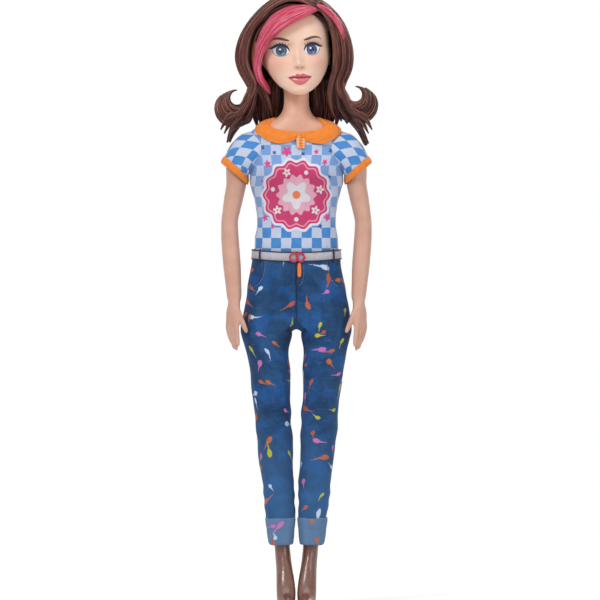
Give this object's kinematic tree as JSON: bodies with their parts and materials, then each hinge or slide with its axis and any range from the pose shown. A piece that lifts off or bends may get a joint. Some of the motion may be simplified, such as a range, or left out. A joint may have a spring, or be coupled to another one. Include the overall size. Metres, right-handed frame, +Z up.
{
  "type": "fashion doll",
  "caption": "Jointed fashion doll with rooted hair, wearing a checked T-shirt, jeans and high-heeled boots.",
  "frame": {"origin": "on the floor under the middle of the doll", "axes": "+Z up, the doll faces -Y, its own left side is +X"},
  "size_m": [0.0752, 0.04, 0.2918],
  "materials": {
    "body_vinyl": "satin moulded vinyl",
    "face_vinyl": "soft satin painted vinyl",
    "arm_vinyl": "satin moulded vinyl",
    "nylon": "plain moulded nylon",
    "shirt_fabric": "blue and white checked knit",
    "orange_trim": "orange fabric trim",
    "denim": "dark blue washed denim with colour splashes",
    "denim_cuff": "lighter blue inside of the denim, turned up",
    "belt": "off-white tape with dark edges",
    "hair": "rooted fibre, dark auburn",
    "hair_pink": "rooted fibre, pink",
    "boot": "glossy brown"
  },
  "bodies": {
    "torso": {"torso_front": "body_vinyl", "torso_back": "body_vinyl", "neck_knob": "nylon", "hip_pivot": "nylon", "tshirt_body": "shirt_fabric", "collar_left": "orange_trim", "collar_right": "orange_trim", "collar_tab": "orange_trim", "jeans_seat": "denim", "waistband": "belt"},
    "head": {"head": "face_vinyl", "hair_crown": "hair", "hair_streak": "hair_pink", "hair_back": "hair", "hair_curl_left": "hair", "hair_curl_right": "hair"},
    "arm_left": {"arm_left": "arm_vinyl", "shoulder_stud_left": "nylon", "sleeve_left": "shirt_fabric", "sleeve_band_left": "orange_trim"},
    "arm_right": {"arm_right": "arm_vinyl", "shoulder_stud_right": "nylon", "sleeve_right": "shirt_fabric", "sleeve_band_right": "orange_trim"},
    "leg_left": {"leg_left": "body_vinyl", "jeans_leg_left": "denim", "jeans_cuff_left": "denim_cuff", "boot_left": "boot"},
    "leg_right": {"leg_right": "body_vinyl", "jeans_leg_right": "denim", "jeans_cuff_right": "denim_cuff", "boot_right": "boot"}
  },
  "joints": [
    {"name": "neck_turn", "type": "hinge", "parent": "torso", "child": "head", "pos_m": [0, 0, 0.2462], "axis": [0, 0, 1], "range_deg": [-90, 90], "deforming": ["hair_back", "hair_curl_left", "hair_curl_right"]},
    {"name": "shoulder_left", "type": "hinge", "parent": "torso", "child": "arm_left", "pos_m": [0.0223, 0, 0.2145], "axis": [-1, 0, 0], "range_deg": [0, 340]},
    {"name": "shoulder_right", "type": "hinge", "parent": "torso", "child": "arm_right", "pos_m": [-0.0223, 0, 0.2145], "axis": [-1, 0, 0], "range_deg": [0, 340]},
    {"name": "hip_left", "type": "hinge", "parent": "torso", "child": "leg_left", "pos_m": [0.0037, 0, 0.145], "axis": [-1, 0, 0], "range_deg": [-30, 90], "deforming": ["jeans_leg_left", "jeans_seat"]},
    {"name": "hip_right", "type": "hinge", "parent": "torso", "child": "leg_right", "pos_m": [-0.0037, 0, 0.145], "axis": [-1, 0, 0], "range_deg": [-30, 90], "deforming": ["jeans_leg_right"]}
  ]
}
